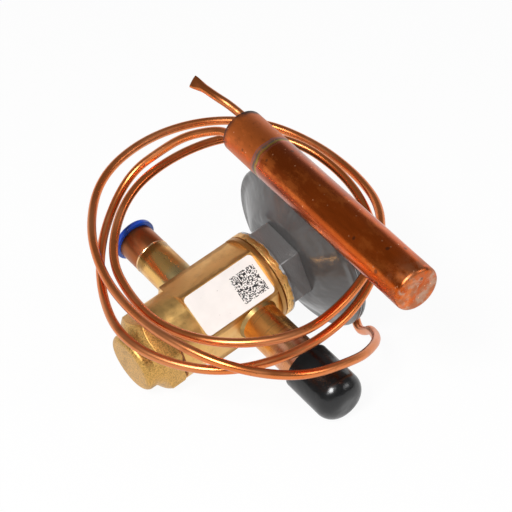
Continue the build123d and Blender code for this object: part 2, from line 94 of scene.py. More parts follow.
# The capillary's route from the power element to the bulb, in metres.
CAPILLARY_ROUTE = [
    (0.01471, 0.02284, 0.02634), (0.01782, 0.02515, 0.02735), (0.0215, 0.027, 0.026),
    (0.024, 0.0265, 0.023), (0.0255, 0.025, 0.018), (0.025, 0.0215, 0.0125),
    (0.0245, 0.0195, 0.008), (0.0245, 0.016, 0.003), (0.0255, 0.0115, 0.002),
    (0.027, 0.0075, 0.004), (0.028, 0.004, 0.007), (0.029, -0.0015, 0.009), (0.029, -0.009, 0.012),
    (0.027, -0.0175, 0.015), (0.023, -0.026, 0.0175), (0.0085, -0.0385, 0.0205),
    (-0.0095, -0.0395, 0.0245), (-0.025, -0.0315, 0.028), (-0.0355, -0.017, 0.0275),
    (-0.044, -0.0005, 0.029), (-0.0485, 0.017, 0.033), (-0.0465, 0.034, 0.0395),
    (-0.035, 0.047, 0.0445), (-0.0185, 0.054, 0.047), (-0.0005, 0.0535, 0.0465),
    (0.015, 0.045, 0.043), (0.026, 0.031, 0.04), (0.0315, 0.014, 0.039), (0.0295, -0.0035, 0.0355),
    (0.021, -0.0185, 0.031), (0.0085, -0.031, 0.028), (-0.01, -0.033, 0.027),
    (-0.0255, -0.025, 0.0265), (-0.0355, -0.01, 0.0265), (-0.0425, 0.007, 0.03),
    (-0.0385, 0.0225, 0.04), (-0.0265, 0.034, 0.0455), (-0.01, 0.0415, 0.0485),
    (0.008, 0.0405, 0.0475), (0.022, 0.03, 0.0415), (0.029, 0.015, 0.0355), (0.0295, -0.0025, 0.03),
    (0.0215, -0.018, 0.0255), (0.008, -0.0295, 0.022), (-0.0095, -0.035, 0.02),
    (-0.026, -0.031, 0.0205), (-0.0385, -0.021, 0.0225), (-0.0445, -0.002, 0.0245),
    (-0.0455, 0.017, 0.03), (-0.0385, 0.0315, 0.0415), (-0.027, 0.032, 0.05),
    (-0.0215, 0.031, 0.0535), (-0.016, 0.0295, 0.0555), (-0.012, 0.028, 0.0565),
    (-0.00934, 0.02521, 0.0568), (-0.00682, 0.02157, 0.05602),
]
# The charge tube's route from the bulb's brazed end to its pinched tip.
CHARGE_TUBE_ROUTE = [
    (-0.00262, 0.02368, 0.05975), (-0.00599, 0.02854, 0.06078), (-0.0097, 0.0298, 0.0636),
    (-0.0130, 0.0322, 0.0648), (-0.0160, 0.0351, 0.0658), (-0.0182, 0.0371, 0.0663),
    (-0.0195, 0.0383, 0.0666),
]
# The tip is pinched across this direction, over this length, and thinned by this share.
PINCH_DIRECTION = (0.87, -0.30, 0.38)
PINCH_LENGTH = 5.5 * MM
PINCH_THINNING = 0.68

CAMERA_PLACE = (1.990 * MM, -397.538 * MM, 270.241 * MM)
CAMERA_TURN = (radians(59.2035), radians(1.146), 0.0)
# Each lamp's place and width, and the point that both face, in metres.
KEY_PLACE, KEY_WIDTH = (-0.25, -0.60, 0.62), 0.28
FILL_PLACE, FILL_WIDTH = (0.75, -0.25, 0.45), 0.3
LAMPS_FACE = (0, 0, 0.02)

# Sockets of a Mix node that blends colours.
MIX_AMOUNT, MIX_FIRST, MIX_SECOND, MIX_RESULT = 0, 6, 7, 2


# --- node trees ---------------------------------------------------------------
class Finish:
    """One material's node tree, built a node at a time in a piece's own millimetres."""

    def __init__(self, name, origin=(0, 0, 0), turn=(0, 0, 0)):
        self.material = bpy.data.materials.new(name)
        self.material.use_nodes = True
        self.tree = self.material.node_tree
        self.shader = self.tree.nodes["Principled BSDF"]
        place = self.add("TexCoord").outputs["Object"]
        self.place = self.add("Mapping", {"Vector": place, "Location": origin, "Rotation": turn,
                                          "Scale": (MM, MM, MM)}, vector_type="TEXTURE").outputs[0]
        split = self.add("SeparateXYZ", {"Vector": self.place})
        self.x, self.y, self.z = split.outputs

    def add(self, kind, values=None, **settings):
        """Adds a node, sets its options and fills or links its sockets."""
        made = self.tree.nodes.new("ShaderNode" + kind)
        for option, value in settings.items():
            setattr(made, option, value)
        for socket, value in (values or {}).items():
            self.feed(made.inputs[socket], value)
        return made

    def feed(self, socket, value):
        """Links a socket to another, or sets it."""
        if isinstance(value, bpy.types.NodeSocket):
            self.tree.links.new(value, socket)
        else:
            socket.default_value = value

    def sum(self, operation, first, second=0.0, third=0.0):
        """A Math node's result."""
        return self.add("Math", {0: first, 1: second, 2: third}, operation=operation).outputs[0]

    def between(self, value, low, high, start=0.0, end=1.0):
        """Goes smoothly from start to end as a value goes from low to high."""
        return self.add("MapRange", {"Value": value, "From Min": low, "From Max": high,
                                     "To Min": start, "To Max": end},
                        interpolation_type="SMOOTHSTEP").outputs[0]

    def noise(self, per_mm, detail=3.0, roughness=0.5, stretch=(1, 1, 1), seed=0.0):
        """Noise with so many features a millimetre, stretched along the piece's axes."""
        place = self.add("Mapping", {"Vector": self.place, "Location": (seed, seed * 1.7, seed * 0.6),
                                     "Scale": stretch}).outputs[0]
        return self.add("TexNoise", {"Vector": place, "Scale": per_mm, "Detail": detail,
                                     "Roughness": roughness}).outputs["Fac"]

    def specks(self, per_mm, size, seed=0.0):
        """Small round spots: 1 inside a spot and 0 outside it."""
        place = self.add("Mapping", {"Vector": self.place, "Location": (seed, seed, seed)}).outputs[0]
        spots = self.add("TexVoronoi", {"Vector": place, "Scale": per_mm}).outputs["Distance"]
        return self.between(spots, size, size * 0.5)

    def mix(self, amount, first, second):
        """Blends two colours."""
        return self.add("Mix", {MIX_AMOUNT: amount, MIX_FIRST: first, MIX_SECOND: second},
                        data_type="RGBA").outputs[MIX_RESULT]

    def stain(self, colours, mask, share, tint):
        """Lays a tint over colours by a share of a mask."""
        return self.mix(self.sum("MULTIPLY", mask, share), colours, tint)

    def ragged(self, noise, reach):
        """Noise as a shift of up to reach millimetres either way."""
        return self.sum("MULTIPLY_ADD", noise, reach * 2, -reach)

    def bumps(self, *layers):
        """Bump nodes in a chain, each (height, strength, depth in mm)."""
        normal = None
        for height, strength, depth in layers:
            values = {"Height": height, "Strength": strength, "Distance": depth * MM}
            if normal is not None:
                values["Normal"] = normal
            normal = self.add("Bump", values).outputs[0]
        self.feed(self.shader.inputs["Normal"], normal)

    def set(self, **values):
        """Sets or links the shader's sockets, with _ for a space in their names."""
        for name, value in values.items():
            self.feed(self.shader.inputs[name.replace("_", " ")], value)


def rgb(red, green, blue):
    return (red, green, blue, 1.0)


def darker(colour, share):
    return (colour[0] * share, colour[1] * share, colour[2] * share, 1.0)


# --- finishes -----------------------------------------------------------------
def drawn_brass(name, colour, turned_above=FAR, turned_below=-FAR, stained_radius=FAR):
    """Bar brass: lines drawn along the flats, rings where it is turned, stains, brown corners."""
    finish = Finish(name, VALVE_ORIGIN, VALVE_TURN)
    drawn = finish.noise(6.0, 4, 0.6, (1, 1, 0.03))
    rings = finish.noise(6.0, 3, 0.6, (0.02, 0.02, 1))
    turned = finish.sum("MAXIMUM", finish.between(finish.z, turned_above - 0.1, turned_above + 0.1),
                        finish.between(finish.z, turned_below + 0.1, turned_below - 0.1))
    lines = finish.mix(turned, drawn, rings)
    tarnish = finish.between(finish.noise(0.16, 5, 0.6), 0.45, 0.75)
    blots = finish.between(finish.noise(0.9, 5, 0.65, seed=3), 0.58, 0.8)
    pits = finish.specks(1.1, 0.10, seed=5)
    colours = finish.stain(colour, tarnish, 0.8, rgb(0.62, 0.33, 0.10))
    colours = finish.stain(colours, blots, 0.5, rgb(0.34, 0.17, 0.05))
    colours = finish.stain(colours, lines, 0.22, darker(colour, 0.55))
    across = finish.add("CombineXYZ", {"X": finish.x, "Y": finish.y}).outputs[0]
    from_axis = finish.add("VectorMath", {0: across}, operation="LENGTH").outputs["Value"]
    ragged = finish.ragged(finish.noise(0.5, 5, 0.65, (1, 1, 0.4), seed=12), 0.8)
    edge = finish.sum("ADD", from_axis, ragged)
    corners = finish.between(edge, stained_radius - 0.3, stained_radius + 0.3)
    colours = finish.stain(colours, corners, 0.75, rgb(0.36, 0.17, 0.045))
    finish.set(Base_Color=finish.mix(pits, colours, darker(colour, 0.25)), Metallic=1.0,
               Roughness=finish.between(finish.noise(0.5, 4, 0.6, seed=8), 0.25, 0.8, 0.33, 0.5))
    finish.bumps((lines, 0.3, 0.03), (pits, 0.5, -0.08), (blots, 0.08, 0.03))
    return finish.material


def forged_brass(name, colour):
    """Hot-forged brass: a satin skin with shallow lumps, brown in its hollows."""
    finish = Finish(name, VALVE_ORIGIN, VALVE_TURN)
    skin = finish.noise(0.8, 4, 0.55)
    grit = finish.noise(2.6, 5, 0.75, seed=2)
    blots = finish.between(finish.noise(0.25, 5, 0.65, seed=4), 0.5, 0.75)
    hollow = finish.between(grit, 0.54, 0.42)
    colours = finish.stain(colour, blots, 0.8, rgb(0.44, 0.24, 0.06))
    colours = finish.stain(colours, hollow, 0.65, darker(colour, 0.32))
    finish.set(Base_Color=colours, Metallic=1.0,
               Roughness=finish.between(grit, 0.2, 0.8, 0.32, 0.52))
    finish.bumps((skin, 0.2, 0.2), (grit, 0.45, 0.06))
    return finish.material


def brazed_stub(name):
    """The inlet's stub: golden, scorched brown along the braze and greenish by the body."""
    finish = Finish(name, VALVE_ORIGIN, VALVE_TURN)
    ragged = finish.ragged(finish.noise(0.28, 5, 0.65, seed=3), 2.5)
    along = finish.sum("SUBTRACT", ragged, finish.x)
    cloud = finish.between(finish.noise(0.2, 4, 0.6, (0.4, 1, 1), seed=6), 0.4, 0.7)
    colours = finish.mix(cloud, rgb(0.86, 0.50, 0.16), rgb(0.58, 0.27, 0.07))
    colours = finish.stain(colours, finish.between(along, 16.0, 13.0), 0.8, rgb(0.60, 0.46, 0.22))
    colours = finish.stain(colours, finish.between(along, 21.5, 23.5), 0.85, rgb(0.30, 0.15, 0.035))
    specks = finish.specks(0.5, 0.10, seed=9)
    finish.set(Base_Color=finish.mix(specks, colours, rgb(0.14, 0.07, 0.02)), Metallic=1.0,
               Roughness=finish.between(cloud, 0, 1, 0.26, 0.4))
    finish.bumps((finish.noise(6.0, 3, 0.6, (1, 0.03, 0.03)), 0.2, 0.03), (specks, 0.5, -0.06))
    return finish.material


def painted_nut(name, colour, paint, paint_edge):
    """The element's nut: scored bare brass at the body, ragged grey paint towards the element."""
    finish = Finish(name, VALVE_ORIGIN, VALVE_TURN)
    ragged = finish.ragged(finish.noise(0.3, 5, 0.65, seed=6), 1.2)
    edge = finish.sum("ADD", finish.z, ragged)
    painted = finish.between(edge, paint_edge - 0.06, paint_edge + 0.06)
    stained = finish.between(edge, paint_edge - 1.4, paint_edge)
    scores = finish.noise(1.3, 5, 0.7, (0.5, 0.5, 2.2), seed=1)
    gouge = finish.between(scores, 0.52, 0.66)
    bare = finish.stain(colour, stained, 0.8, rgb(0.48, 0.24, 0.05))
    bare = finish.mix(gouge, bare, rgb(0.26, 0.12, 0.03))
    ripple = finish.noise(0.28, 2, 0.5, seed=9)
    finish.set(Base_Color=finish.mix(painted, bare, paint), Metallic=finish.sum("SUBTRACT", 1.0, painted),
               Roughness=finish.sum("MULTIPLY_ADD", painted, -0.14, 0.34), Coat_Weight=painted,
               Coat_Roughness=0.08)
    finish.bumps((gouge, 0.6, -0.12), (painted, 0.8, 0.06), (ripple, 0.25, 0.5))
    return finish.material


def grey_enamel(name, paint):
    """Thick dipped enamel with slow ripples in its gloss."""
    finish = Finish(name, VALVE_ORIGIN, VALVE_TURN)
    ripple = finish.noise(0.11, 2, 0.45, (1, 1, 0.6))
    height = finish.sum("MULTIPLY", finish.z, 0.8)
    swirl = finish.sum("SINE", finish.sum("MULTIPLY_ADD", ripple, 17.0, height))
    orange_peel = finish.noise(1.4, 2, 0.5, seed=3)
    dust = finish.specks(0.5, 0.06, seed=7)
    shade = finish.between(finish.noise(0.1, 3, 0.5, seed=5), 0.3, 0.7)
    colours = finish.mix(shade, paint, darker(paint, 0.82))
    finish.set(Base_Color=finish.mix(dust, colours, darker(paint, 1.8)), Roughness=0.34,
               Coat_Weight=0.4, Coat_Roughness=0.08)
    finish.bumps((ripple, 0.6, 1.2), (swirl, 0.5, 0.16), (orange_peel, 0.1, 0.05))
    return finish.material


def copper(name, colour, origin, turn, matte=0.38, stripes=(1, 1, 0.15), bright=0.26):
    """Drawn copper: bright orange with salmon, matte patches and brown stains."""
    finish = Finish(name, origin, turn)
    patches = finish.between(finish.noise(0.05, 3, 0.5, stripes), 0.42, 0.66)
    stains = finish.between(finish.noise(0.22, 4, 0.6, stripes, seed=4), 0.55, 0.85)
    lines = finish.noise(3.0, 4, 0.6, (1, 1, 0.06), seed=2)
    pits = finish.specks(0.5, 0.08, seed=6)
    salmon = rgb(colour[0] * 0.9, colour[1] * 1.35, colour[2] * 2.2)
    colours = finish.stain(colour, patches, 0.6, salmon)
    colours = finish.stain(colours, stains, 0.7, darker(colour, 0.5))
    finish.set(Base_Color=finish.mix(pits, colours, darker(colour, 0.3)), Metallic=1.0,
               Roughness=finish.between(patches, 0, 1, bright, matte))
    finish.bumps((lines, 0.06, 0.015), (pits, 0.4, -0.05))
    return finish.material


def outlet_copper(name):
    """The outlet tube: brassy where it was heated by the braze, copper beyond."""
    finish = Finish(name, VALVE_ORIGIN, VALVE_TURN)
    wander = finish.ragged(finish.noise(0.3, 4, 0.6, seed=2), 2.5)
    along = finish.sum("ADD", finish.x, wander)
    patches = finish.between(finish.noise(0.25, 4, 0.6, (0.3, 1, 1)), 0.4, 0.68)
    lines = finish.noise(3.0, 4, 0.6, (0.06, 1, 1), seed=3)
    brassy = finish.mix(patches, rgb(0.95, 0.46, 0.13), rgb(0.66, 0.27, 0.07))
    ruddy = finish.mix(patches, rgb(0.66, 0.28, 0.12), rgb(0.80, 0.40, 0.26))
    rings = finish.between(finish.noise(1.1, 4, 0.65, (2, 0.15, 0.15), seed=7), 0.5, 0.72)
    colours = finish.mix(finish.between(along, 20.0, 25.0), brassy, ruddy)
    colours = finish.stain(colours, rings, 0.55, rgb(0.26, 0.12, 0.05))
    finish.set(Base_Color=colours, Metallic=1.0, Roughness=finish.between(patches, 0, 1, 0.26, 0.42))
    finish.bumps((lines, 0.15, 0.03))
    return finish.material


def tinted_bulb(name, colour, tint_line):
    """The bulb: a heat-stained brazed end, a rainbow line, then darker shiny copper."""
    finish = Finish(name, BULB_ORIGIN, BULB_TURN)
    wander = finish.ragged(finish.noise(0.18, 3, 0.5, seed=2), 1.5)
    along = finish.sum("ADD", finish.z, wander)
    streaks = finish.between(finish.noise(0.35, 5, 0.6, (1, 1, 0.18)), 0.35, 0.7)
    blots = finish.between(finish.noise(0.45, 5, 0.7, seed=5), 0.52, 0.75)
    specks = finish.specks(0.42, 0.11, seed=9)
    shiny = finish.mix(finish.between(finish.z, 15, 60), darker(colour, 0.62), colour)
    shiny = finish.stain(shiny, streaks, 0.5, darker(colour, 0.45))
    matte = finish.mix(blots, rgb(0.64, 0.155, 0.028), rgb(0.42, 0.095, 0.018))
    colours = finish.mix(finish.between(along, tint_line - 0.5, tint_line + 0.5), matte, shiny)
    bands = ((-1.5, 0.5, rgb(0.34, 0.17, 0.18)), (-0.7, 0.7, rgb(0.10, 0.16, 0.15)),
             (0.0, 0.6, rgb(0.36, 0.30, 0.06)), (0.8, 0.7, rgb(0.50, 0.13, 0.08)))
    for middle, width, tint in bands:
        away = finish.sum("ABSOLUTE", finish.sum("SUBTRACT", along, tint_line + middle))
        colours = finish.mix(finish.between(away, width, 0.0, 0.0, 0.85), colours, tint)
    scorched = finish.between(along, 2.2, 0.2)
    colours = finish.mix(scorched, colours, rgb(0.05, 0.035, 0.035))
    salmon = finish.sum("MULTIPLY", finish.between(finish.z, BULB_LENGTH - 9, BULB_LENGTH - 1),
                        finish.between(finish.noise(0.3, 4, 0.6, seed=11), 0.35, 0.6))
    colours = finish.mix(salmon, colours, rgb(0.48, 0.155, 0.06))
    worn = finish.sum("MULTIPLY", finish.between(finish.z, BULB_LENGTH - 1.0, BULB_LENGTH - 0.2),
                      finish.between(finish.noise(0.35, 5, 0.7, seed=17), 0.45, 0.62))
    colours = finish.mix(worn, colours, rgb(0.52, 0.30, 0.20))
    grime = finish.between(finish.noise(0.16, 6, 0.7, (1, 1, 0.5), seed=21), 0.5, 0.62)
    colours = finish.stain(colours, grime, 0.45, rgb(0.95, 0.24, 0.045))
    spots = finish.specks(0.21, 0.16, seed=15)
    colours = finish.stain(colours, spots, 0.7, rgb(0.12, 0.045, 0.025))
    colours = finish.mix(specks, colours, rgb(0.95, 0.42, 0.22))
    rough = finish.between(along, tint_line - 0.5, tint_line + 0.5, 0.46, 0.24)
    finish.set(Base_Color=colours, Metallic=1.0, Roughness=finish.sum("MULTIPLY_ADD", salmon, 0.2, rough))
    finish.bumps((finish.noise(0.12, 2, 0.4, (1, 1, 0.4), seed=13), 0.25, 0.6),
                 (finish.noise(2.5, 4, 0.6, (1, 1, 0.1)), 0.15, 0.03), (specks, 0.4, 0.04))
    return finish.material


def coded_label(name, paper, code_size, code_cells):
    """Satin label paper with specks and a square of random dark cells."""
    finish = Finish(name, VALVE_ORIGIN, VALVE_TURN)
    across = finish.sum("ADD", finish.sum("MULTIPLY", finish.x, LABEL_ACROSS[0]),
                        finish.sum("MULTIPLY", finish.y, LABEL_ACROSS[1]))
    along = finish.sum("SUBTRACT", finish.z, CODE_HEIGHT)
    across = finish.sum("SUBTRACT", across, CODE_SIDE)
    cell = code_size / code_cells
    half = code_size / 2
    inside = finish.sum("MULTIPLY", finish.sum("LESS_THAN", finish.sum("ABSOLUTE", across), half),
                        finish.sum("LESS_THAN", finish.sum("ABSOLUTE", along), half))
    rows = finish.sum("FLOOR", finish.sum("DIVIDE", finish.sum("ADD", along, half), cell))
    columns = finish.sum("FLOOR", finish.sum("DIVIDE", finish.sum("ADD", across, half), cell))
    square = finish.add("CombineXYZ", {"X": rows, "Y": columns, "Z": 4.0}).outputs[0]
    chance = finish.add("TexWhiteNoise", {"Vector": square}, noise_dimensions="3D").outputs["Value"]
    ink = finish.sum("MULTIPLY", inside, finish.sum("GREATER_THAN", chance, 0.5))
    specks = finish.specks(0.55, 0.07, seed=3)
    shade = finish.between(finish.noise(0.2, 3, 0.5), 0.3, 0.7)
    colours = finish.mix(shade, paper, darker(paper, 0.94))
    colours = finish.mix(specks, colours, rgb(0.30, 0.27, 0.24))
    finish.set(Base_Color=finish.mix(ink, colours, rgb(0.02, 0.02, 0.022)), Roughness=0.5)
    finish.bumps((finish.noise(2.0, 2, 0.5), 0.06, 0.03))
    return finish.material


def plastic(name, colour, roughness, grain=0.08, gloss=0.3):
    """Moulded or dipped plastic with a faint orange-peel skin."""
    finish = Finish(name, VALVE_ORIGIN, VALVE_TURN)
    skin = finish.noise(0.35, 2, 0.5)
    dust = finish.specks(0.45, 0.05, seed=4)
    tone = finish.mix(finish.between(finish.noise(0.2, 3, 0.5), 0.3, 0.7), colour, darker(colour, 0.8))
    finish.set(Base_Color=finish.stain(tone, dust, 0.4, rgb(0.35, 0.35, 0.35)), Roughness=roughness,
               Coat_Weight=gloss, Coat_Roughness=0.05)
    finish.bumps((skin, grain, 0.8), (finish.noise(2.2, 2, 0.5, seed=6), 0.04, 0.05))
    return finish.material


def steel(name, colour, roughness):
    """Turned steel with faint rings."""
    finish = Finish(name, VALVE_ORIGIN, VALVE_TURN)
    rings = finish.noise(7.0, 3, 0.6, (0.05, 0.05, 1))
    cloud = finish.between(finish.noise(0.5, 4, 0.6), 0.35, 0.7)
    finish.set(Base_Color=finish.mix(cloud, colour, darker(colour, 0.8)), Metallic=1.0,
               Roughness=finish.between(cloud, 0, 1, roughness, roughness + 0.1))
    finish.bumps((rings, 0.25, 0.03))
    return finish.material


def packing_fibre(name, colour):
    """Pressed packing, a little fibrous."""
    finish = Finish(name, VALVE_ORIGIN, VALVE_TURN)
    fibre = finish.noise(3.0, 4, 0.7)
    finish.set(Base_Color=finish.mix(fibre, colour, darker(colour, 0.75)), Roughness=0.8)
    finish.bumps((fibre, 0.3, 0.08))
    return finish.material


# --- settings -------------------------------------------------------------------
def colour_property(name, description, default):
    return bpy.props.FloatVectorProperty(name=name, description=description, default=default,
                                         subtype="COLOR", size=4, min=0.0, max=1.0)


def length_property(name, description, default):
    return bpy.props.FloatProperty(name=name, description=description, default=default,
                                   unit="LENGTH", min=0.0)


class TubeSettings(bpy.types.PropertyGroup):
    """Sizes and colour of the capillary and the charge tube."""

    capillary_diameter: length_property("Capillary", "Outside diameter of the capillary", 2.5 * MM)
    charge_diameter: length_property("Charge tube", "Outside diameter of the charge tube", 2.4 * MM)
    pinch_width: length_property("Pinch", "Width of the charge tube's flattened tip", 3.6 * MM)
    colour: colour_property("Copper", "Colour of the bright small tubes", rgb(0.78, 0.22, 0.06))


class MetalSettings(bpy.types.PropertyGroup):
    """Edges and colours of the brass, copper and painted pieces."""

    edge: length_property("Edge", "Width of the softened edges", 0.22 * MM)
    brass: colour_property("Brass", "Colour of the bar brass", rgb(0.88, 0.53, 0.18))
    forging: colour_property("Forging", "Colour of the forged seal cap", rgb(0.76, 0.44, 0.13))
    tube: colour_property("Tube", "Colour of the copper sockets", rgb(0.38, 0.115, 0.036))
    bulb: colour_property("Bulb", "Colour of the bulb's shiny stretch", rgb(0.66, 0.115, 0.014))
    paint: colour_property("Enamel", "Colour of the power element's enamel", rgb(0.135, 0.132, 0.13))
    paint_edge: bpy.props.FloatProperty(name="Paint edge", default=15.6,
                                        description="Height on the valve's axis where the paint starts, mm")
    tint_line: bpy.props.FloatProperty(name="Tint line", default=15.3,
                                       description="Heat tint's distance from the bulb's brazed end, mm")


class PlasticSettings(bpy.types.PropertyGroup):
    """Colours of the plug, the dust cap and the label."""

    plug: colour_property("Plug", "Colour of the inlet plug", rgb(0.0, 0.08, 0.62))
    dust_cap: colour_property("Dust cap", "Colour of the outlet's dust cap", rgb(0.004, 0.004, 0.0045))
    paper: colour_property("Label", "Colour of the label's paper", rgb(0.90, 0.86, 0.82))
    code_size: bpy.props.FloatProperty(name="Code size", default=8.1,
                                       description="Width of the label's square of cells, mm")
    code_cells: bpy.props.IntProperty(name="Code cells", default=32,
                                      description="Cells along one side of the square")


class StageSettings(bpy.types.PropertyGroup):
    """Camera, table and lamps."""

    lens: bpy.props.FloatProperty(name="Lens", default=122.87, description="Focal length, mm")
    floor: colour_property("Table", "Colour of the table", rgb(0.92, 0.92, 0.92))
    glow: bpy.props.FloatProperty(name="Glow", default=0.94, min=0.0, max=1.0,
                                  description="Share of plain white in the table as the camera sees it")
    walls: colour_property("Walls", "Colour of the studio's walls and ceiling", rgb(0.20, 0.20, 0.20))
    screen: colour_property("Screen", "Colour of the low screen behind", rgb(0.95, 0.95, 0.95))
    key: bpy.props.FloatProperty(name="Key lamp", default=7.6, unit="POWER",
                                 description="Power of the lamp in front and above")
    fill: bpy.props.FloatProperty(name="Fill lamp", default=1.2, unit="POWER",
                                  description="Power of the lamp at the side")


# --- shaping --------------------------------------------------------------------
def deselect():
    bpy.ops.object.select_all(action="DESELECT")


def activate(piece):
    """Makes a piece the only selected one, so that operators act on it alone."""
    deselect()
    piece.select_set(True)
    bpy.context.view_layer.objects.active = piece


def dress(piece, material):
    """Gives a piece one material."""
    piece.data.materials.clear()
    piece.data.materials.append(material)


def smooth(piece, angle=35):
    activate(piece)
    bpy.ops.object.shade_smooth_by_angle(angle=radians(angle))


def soften(node, edge, material, body="valve", segments=3, angle=28):
    """Stands a copy with rounded edges in for a solid."""
    source = bpy.data.objects[node]
    piece = bpy.data.objects.new("soft_" + node, source.data.copy())
    bpy.context.collection.objects.link(piece)
    activate(piece)
    bpy.ops.object.mode_set(mode="EDIT")
    bpy.ops.mesh.select_all(action="SELECT")
    bpy.ops.mesh.remove_doubles(threshold=0.004 * MM)
    bpy.ops.mesh.dissolve_limited(angle_limit=radians(0.6))
    bpy.ops.object.mode_set(mode="OBJECT")
    rounding = piece.modifiers.new("edges", "BEVEL")
    rounding.width = edge
    rounding.segments = segments
    rounding.limit_method = "ANGLE"
    rounding.angle_limit = radians(angle)
    rounding.harden_normals = False
    bpy.ops.object.modifier_apply(modifier=rounding.name)
    smooth(piece, 50)
    dress(piece, material)
    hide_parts(node)
    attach(piece, body)
    return piece


def route_curve(name, route, radius, resolution=12):
    """A smooth round tube along a route's control points."""
    line = bpy.data.curves.new(name, "CURVE")
    line.dimensions = "3D"
    line.bevel_depth = radius
    line.bevel_resolution = 5
    line.use_fill_caps = True
    line.resolution_u = resolution
    spline = line.splines.new("NURBS")
    spline.points.add(len(route) - 1)
    for point, place in zip(spline.points, route):
        point.co = (*place, 1.0)
    spline.order_u = 3
    spline.use_endpoint_u = True
    piece = bpy.data.objects.new(name, line)
    bpy.context.collection.objects.link(piece)
    return piece


def on_axis(height):
    """The point on the valve's axis at a height in millimetres."""
    return tuple(start + along * height * MM for start, along in zip(VALVE_ORIGIN, VALVE_AXIS))


# --- stage ----------------------------------------------------------------------
def table_top(colour, glow):
    """A matt top that looks nearly white to the camera and in reflections, but keeps a shadow."""
    finish = Finish("table_top")
    finish.set(Base_Color=colour, Roughness=0.85)
    path = finish.add("LightPath").outputs
    seen = finish.sum("MAXIMUM", path["Is Camera Ray"], path["Is Glossy Ray"])
    seen = finish.sum("MAXIMUM", seen, path["Is Transmission Ray"])
    white = finish.add("Emission", {"Color": rgb(1.0, 1.0, 1.0)})
    both = finish.add("MixShader", {0: finish.sum("MULTIPLY", seen, glow), 1: finish.shader.outputs[0],
                                    2: white.outputs[0]})
    finish.feed(finish.tree.nodes["Material Output"].inputs["Surface"], both.outputs[0])
    return finish.material


def studio_walls(scene, front, back):
    """Surrounds the table with dim walls and ceiling and a low white screen behind."""
    world = bpy.data.worlds.new("studio")
    scene.world = world
    world.use_nodes = True
    tree = world.node_tree
    facing = tree.nodes.new("ShaderNodeTexCoord")
    split = tree.nodes.new("ShaderNodeSeparateXYZ")
    wall = tree.nodes.new("ShaderNodeMix")
    tree.links.new(facing.outputs["Generated"], split.inputs[0])
    screen = tree.nodes.new("ShaderNodeMath")
    screen.operation = "MULTIPLY"
    for index, (axis, start, end) in enumerate((("Y", 0.0, 0.7), ("Z", 0.58, 0.3))):
        fade = tree.nodes.new("ShaderNodeMapRange")
        fade.interpolation_type = "SMOOTHSTEP"
        fade.inputs["From Min"].default_value = start
        fade.inputs["From Max"].default_value = end
        tree.links.new(split.outputs[axis], fade.inputs["Value"])
        tree.links.new(fade.outputs[0], screen.inputs[index])
    wall.data_type = "RGBA"
    wall.inputs[MIX_FIRST].default_value = front
    wall.inputs[MIX_SECOND].default_value = back
    tree.links.new(screen.outputs[0], wall.inputs[MIX_AMOUNT])
    tree.links.new(wall.outputs[MIX_RESULT], tree.nodes["Background"].inputs["Color"])


def lamp(name, place, width, power):
    """A soft square lamp turned towards the valve."""
    light = bpy.data.objects.new(name, bpy.data.lights.new(name, "AREA"))
    bpy.context.collection.objects.link(light)
    light.data.shape = "SQUARE"
    light.data.size = width
    light.data.energy = power
    light.location = place
    light.rotation_euler = (Vector(LAMPS_FACE) - Vector(place)).to_track_quat("-Z", "Y").to_euler()


# --- operators ------------------------------------------------------------------
class VALVE_OT_capillary(bpy.types.Operator):
    """Lay the capillary in its loops from the power element to the bulb"""

    bl_idname = "valve.capillary"
    bl_label = "Capillary"

    def execute(self, context):
        sizes = context.scene.valve_tubes
        capillary = route_curve("capillary", CAPILLARY_ROUTE, sizes.capillary_diameter / 2)
        dress(capillary, copper("capillary_copper", sizes.colour, (0, 0, 0), (0, 0, 0), 0.36, (1, 1, 1)))
        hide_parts("capillary_tube")
        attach(capillary, "valve")
        return {"FINISHED"}


class VALVE_OT_charge_tube(bpy.types.Operator):
    """Bend the charge tube out of the bulb's end and pinch its tip flat"""

    bl_idname = "valve.charge_tube"
    bl_label = "Charge tube"

    def execute(self, context):
        sizes = context.scene.valve_tubes
        tube = route_curve("pinched_charge_tube", CHARGE_TUBE_ROUTE, sizes.charge_diameter / 2, 8)
        activate(tube)
        bpy.ops.object.convert(target="MESH")
        tip = Vector(CHARGE_TUBE_ROUTE[-1])
        along = (tip - Vector(CHARGE_TUBE_ROUTE[-3])).normalized()
        across = Vector(PINCH_DIRECTION)
        across = (across - along * across.dot(along)).normalized()
        through = along.cross(across)
        radius = sizes.charge_diameter / 2
        for vertex in tube.data.vertices:
            away = vertex.co - tip
            share = min(max(1 + away.dot(along) / PINCH_LENGTH, 0.0), 1.0)
            share = share * share * (3 - 2 * share)
            wide = sizes.pinch_width / 2 / radius - 1
            vertex.co += across * away.dot(across) * wide * share
            vertex.co -= through * away.dot(through) * PINCH_THINNING * share
        smooth(tube, 60)
        dress(tube, copper("charge_copper", darker(sizes.colour, 0.8), (0, 0, 0), (0, 0, 0), 0.42, (1, 1, 1)))
        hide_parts("charge_tube")
        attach(tube, "valve")
        return {"FINISHED"}


class VALVE_OT_brass(bpy.types.Operator):
    """Soften the edges of the body, its nut, its stub and its seal cap and give them their brass"""

    bl_idname = "valve.brass"
    bl_label = "Brass pieces"

    def execute(self, context):
        metal = context.scene.valve_metal
        body = drawn_brass("bar_brass", metal.brass, HEX_TOP, HEX_BOTTOM, BROWN_RADIUS)
        soften("valve_body", metal.edge, body)
        soften("inlet_stub", metal.edge, brazed_stub("stub_brass"))
        nut = painted_nut("nut_brass_and_paint", metal.brass, metal.paint, metal.paint_edge)
        soften("element_nut", metal.edge * 1.3, nut)
        soften("seal_cap", metal.edge * 3, forged_brass("seal_cap_forging", metal.forging), "cap", 4, 22)
        return {"FINISHED"}


